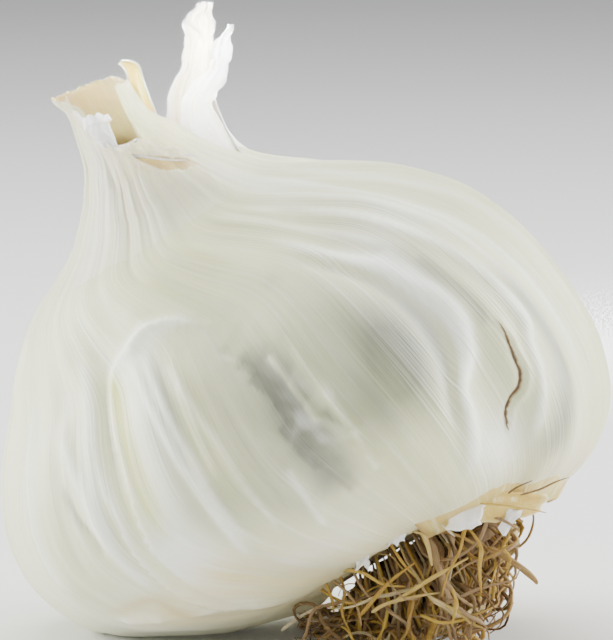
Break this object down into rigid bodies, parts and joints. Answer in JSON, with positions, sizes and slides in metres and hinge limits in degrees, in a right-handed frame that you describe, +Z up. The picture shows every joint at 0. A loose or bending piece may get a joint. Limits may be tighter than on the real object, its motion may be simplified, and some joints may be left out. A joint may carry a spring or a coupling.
{
  "type": "garlic bulb",
  "caption": "Dry garlic bulb in white papery skins, leaning on one clove and its root tuft, with a torn neck and a tall dry leaf.",
  "frame": {"origin": "middle of the bulb's box on the surface that it rests on", "axes": "+Z up from the surface; the bulb's own axis leans 30 degrees from +Z towards -X, where its neck is; +Y is the back"},
  "size_m": [0.0594, 0.0582, 0.0615],
  "materials": {
    "dry_skin": "satin",
    "torn_skin": "matte",
    "dry_leaf": "matte",
    "golden_leaf": "satin",
    "tan_husk": "matte",
    "dry_root": "matte"
  },
  "bodies": {
    "root": {"bulb": "dry_skin", "neck_sheath": "torn_skin", "tall_leaf": "dry_leaf", "golden_leaf": "golden_leaf", "base_skin": "tan_husk", "root_tuft": "dry_root"}
  },
  "joints": []
}
